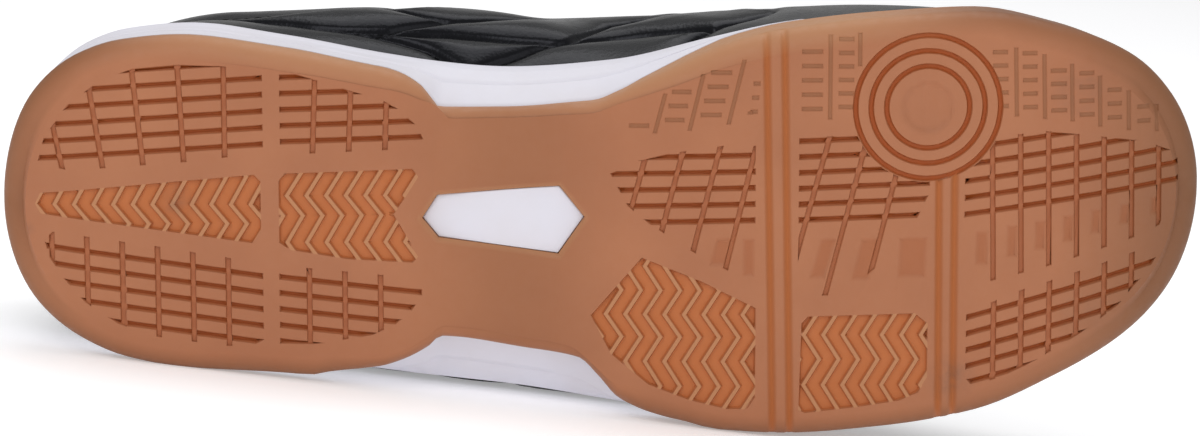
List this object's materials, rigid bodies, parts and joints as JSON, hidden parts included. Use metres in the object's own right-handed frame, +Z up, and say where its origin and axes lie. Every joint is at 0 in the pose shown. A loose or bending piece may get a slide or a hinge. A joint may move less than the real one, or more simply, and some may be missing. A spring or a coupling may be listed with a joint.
{
  "type": "indoor court shoe",
  "caption": "Low left indoor court shoe lying on its outer side: gum rubber cupped outsole with grid and herringbone tread, white foam midsole, quilted black upper, tongue and lacing.",
  "frame": {"origin": "centre of the bounding box at the floor, with the shoe lying on its outer side", "axes": "+X from heel to toe along the floor, -Y the way the sole faces, +Z up, through the inner side of the shoe"},
  "size_m": [0.2936, 0.1038, 0.1124],
  "materials": {
    "gum_rubber": "moulded gum rubber, satin",
    "white_foam": "moulded white foam, matt",
    "insole_cloth": "knit cloth over foam",
    "black_leather": "synthetic leather, soft sheen",
    "black_padding": "padded cloth",
    "black_lace": "flat woven lace"
  },
  "bodies": {
    "root": {"outsole": "gum_rubber", "midsole": "white_foam", "insole": "insole_cloth", "upper": "black_leather", "tongue": "black_padding", "lace_bar_1": "black_lace", "lace_bar_2": "black_lace", "lace_bar_3": "black_lace", "lace_bar_4": "black_lace", "lace_bar_5": "black_lace", "lace_bar_6": "black_lace"}
  },
  "joints": []
}
